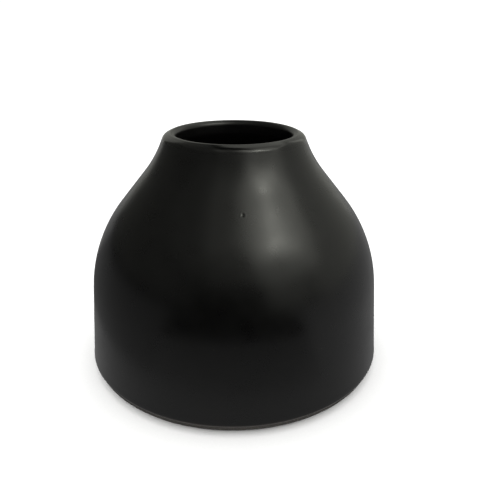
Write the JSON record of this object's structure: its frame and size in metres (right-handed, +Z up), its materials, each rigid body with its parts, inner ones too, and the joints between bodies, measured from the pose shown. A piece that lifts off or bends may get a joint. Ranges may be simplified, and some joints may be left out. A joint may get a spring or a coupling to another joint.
{
  "type": "empty candle jar",
  "caption": "Low stoneware candle jar: flared round wall, domed shoulder, short waisted neck, narrow rolled mouth, satin black glaze outside and gloss black inside.",
  "frame": {"origin": "centre of the foot ring, on the surface that the jar stands on", "axes": "+Z up along the jar's axis of revolution, out of the mouth; +Y away from the front; +X to the right"},
  "size_m": [0.1044, 0.1044, 0.0815],
  "materials": {
    "bare_stoneware": "matt, fired dark clay",
    "satin_glaze": "satin-matt black",
    "liner_glaze": "gloss black"
  },
  "bodies": {
    "root": {"stoneware_body": "bare_stoneware", "outer_glaze": "satin_glaze", "liner_glaze": "liner_glaze", "base_glaze": "satin_glaze"}
  },
  "joints": []
}
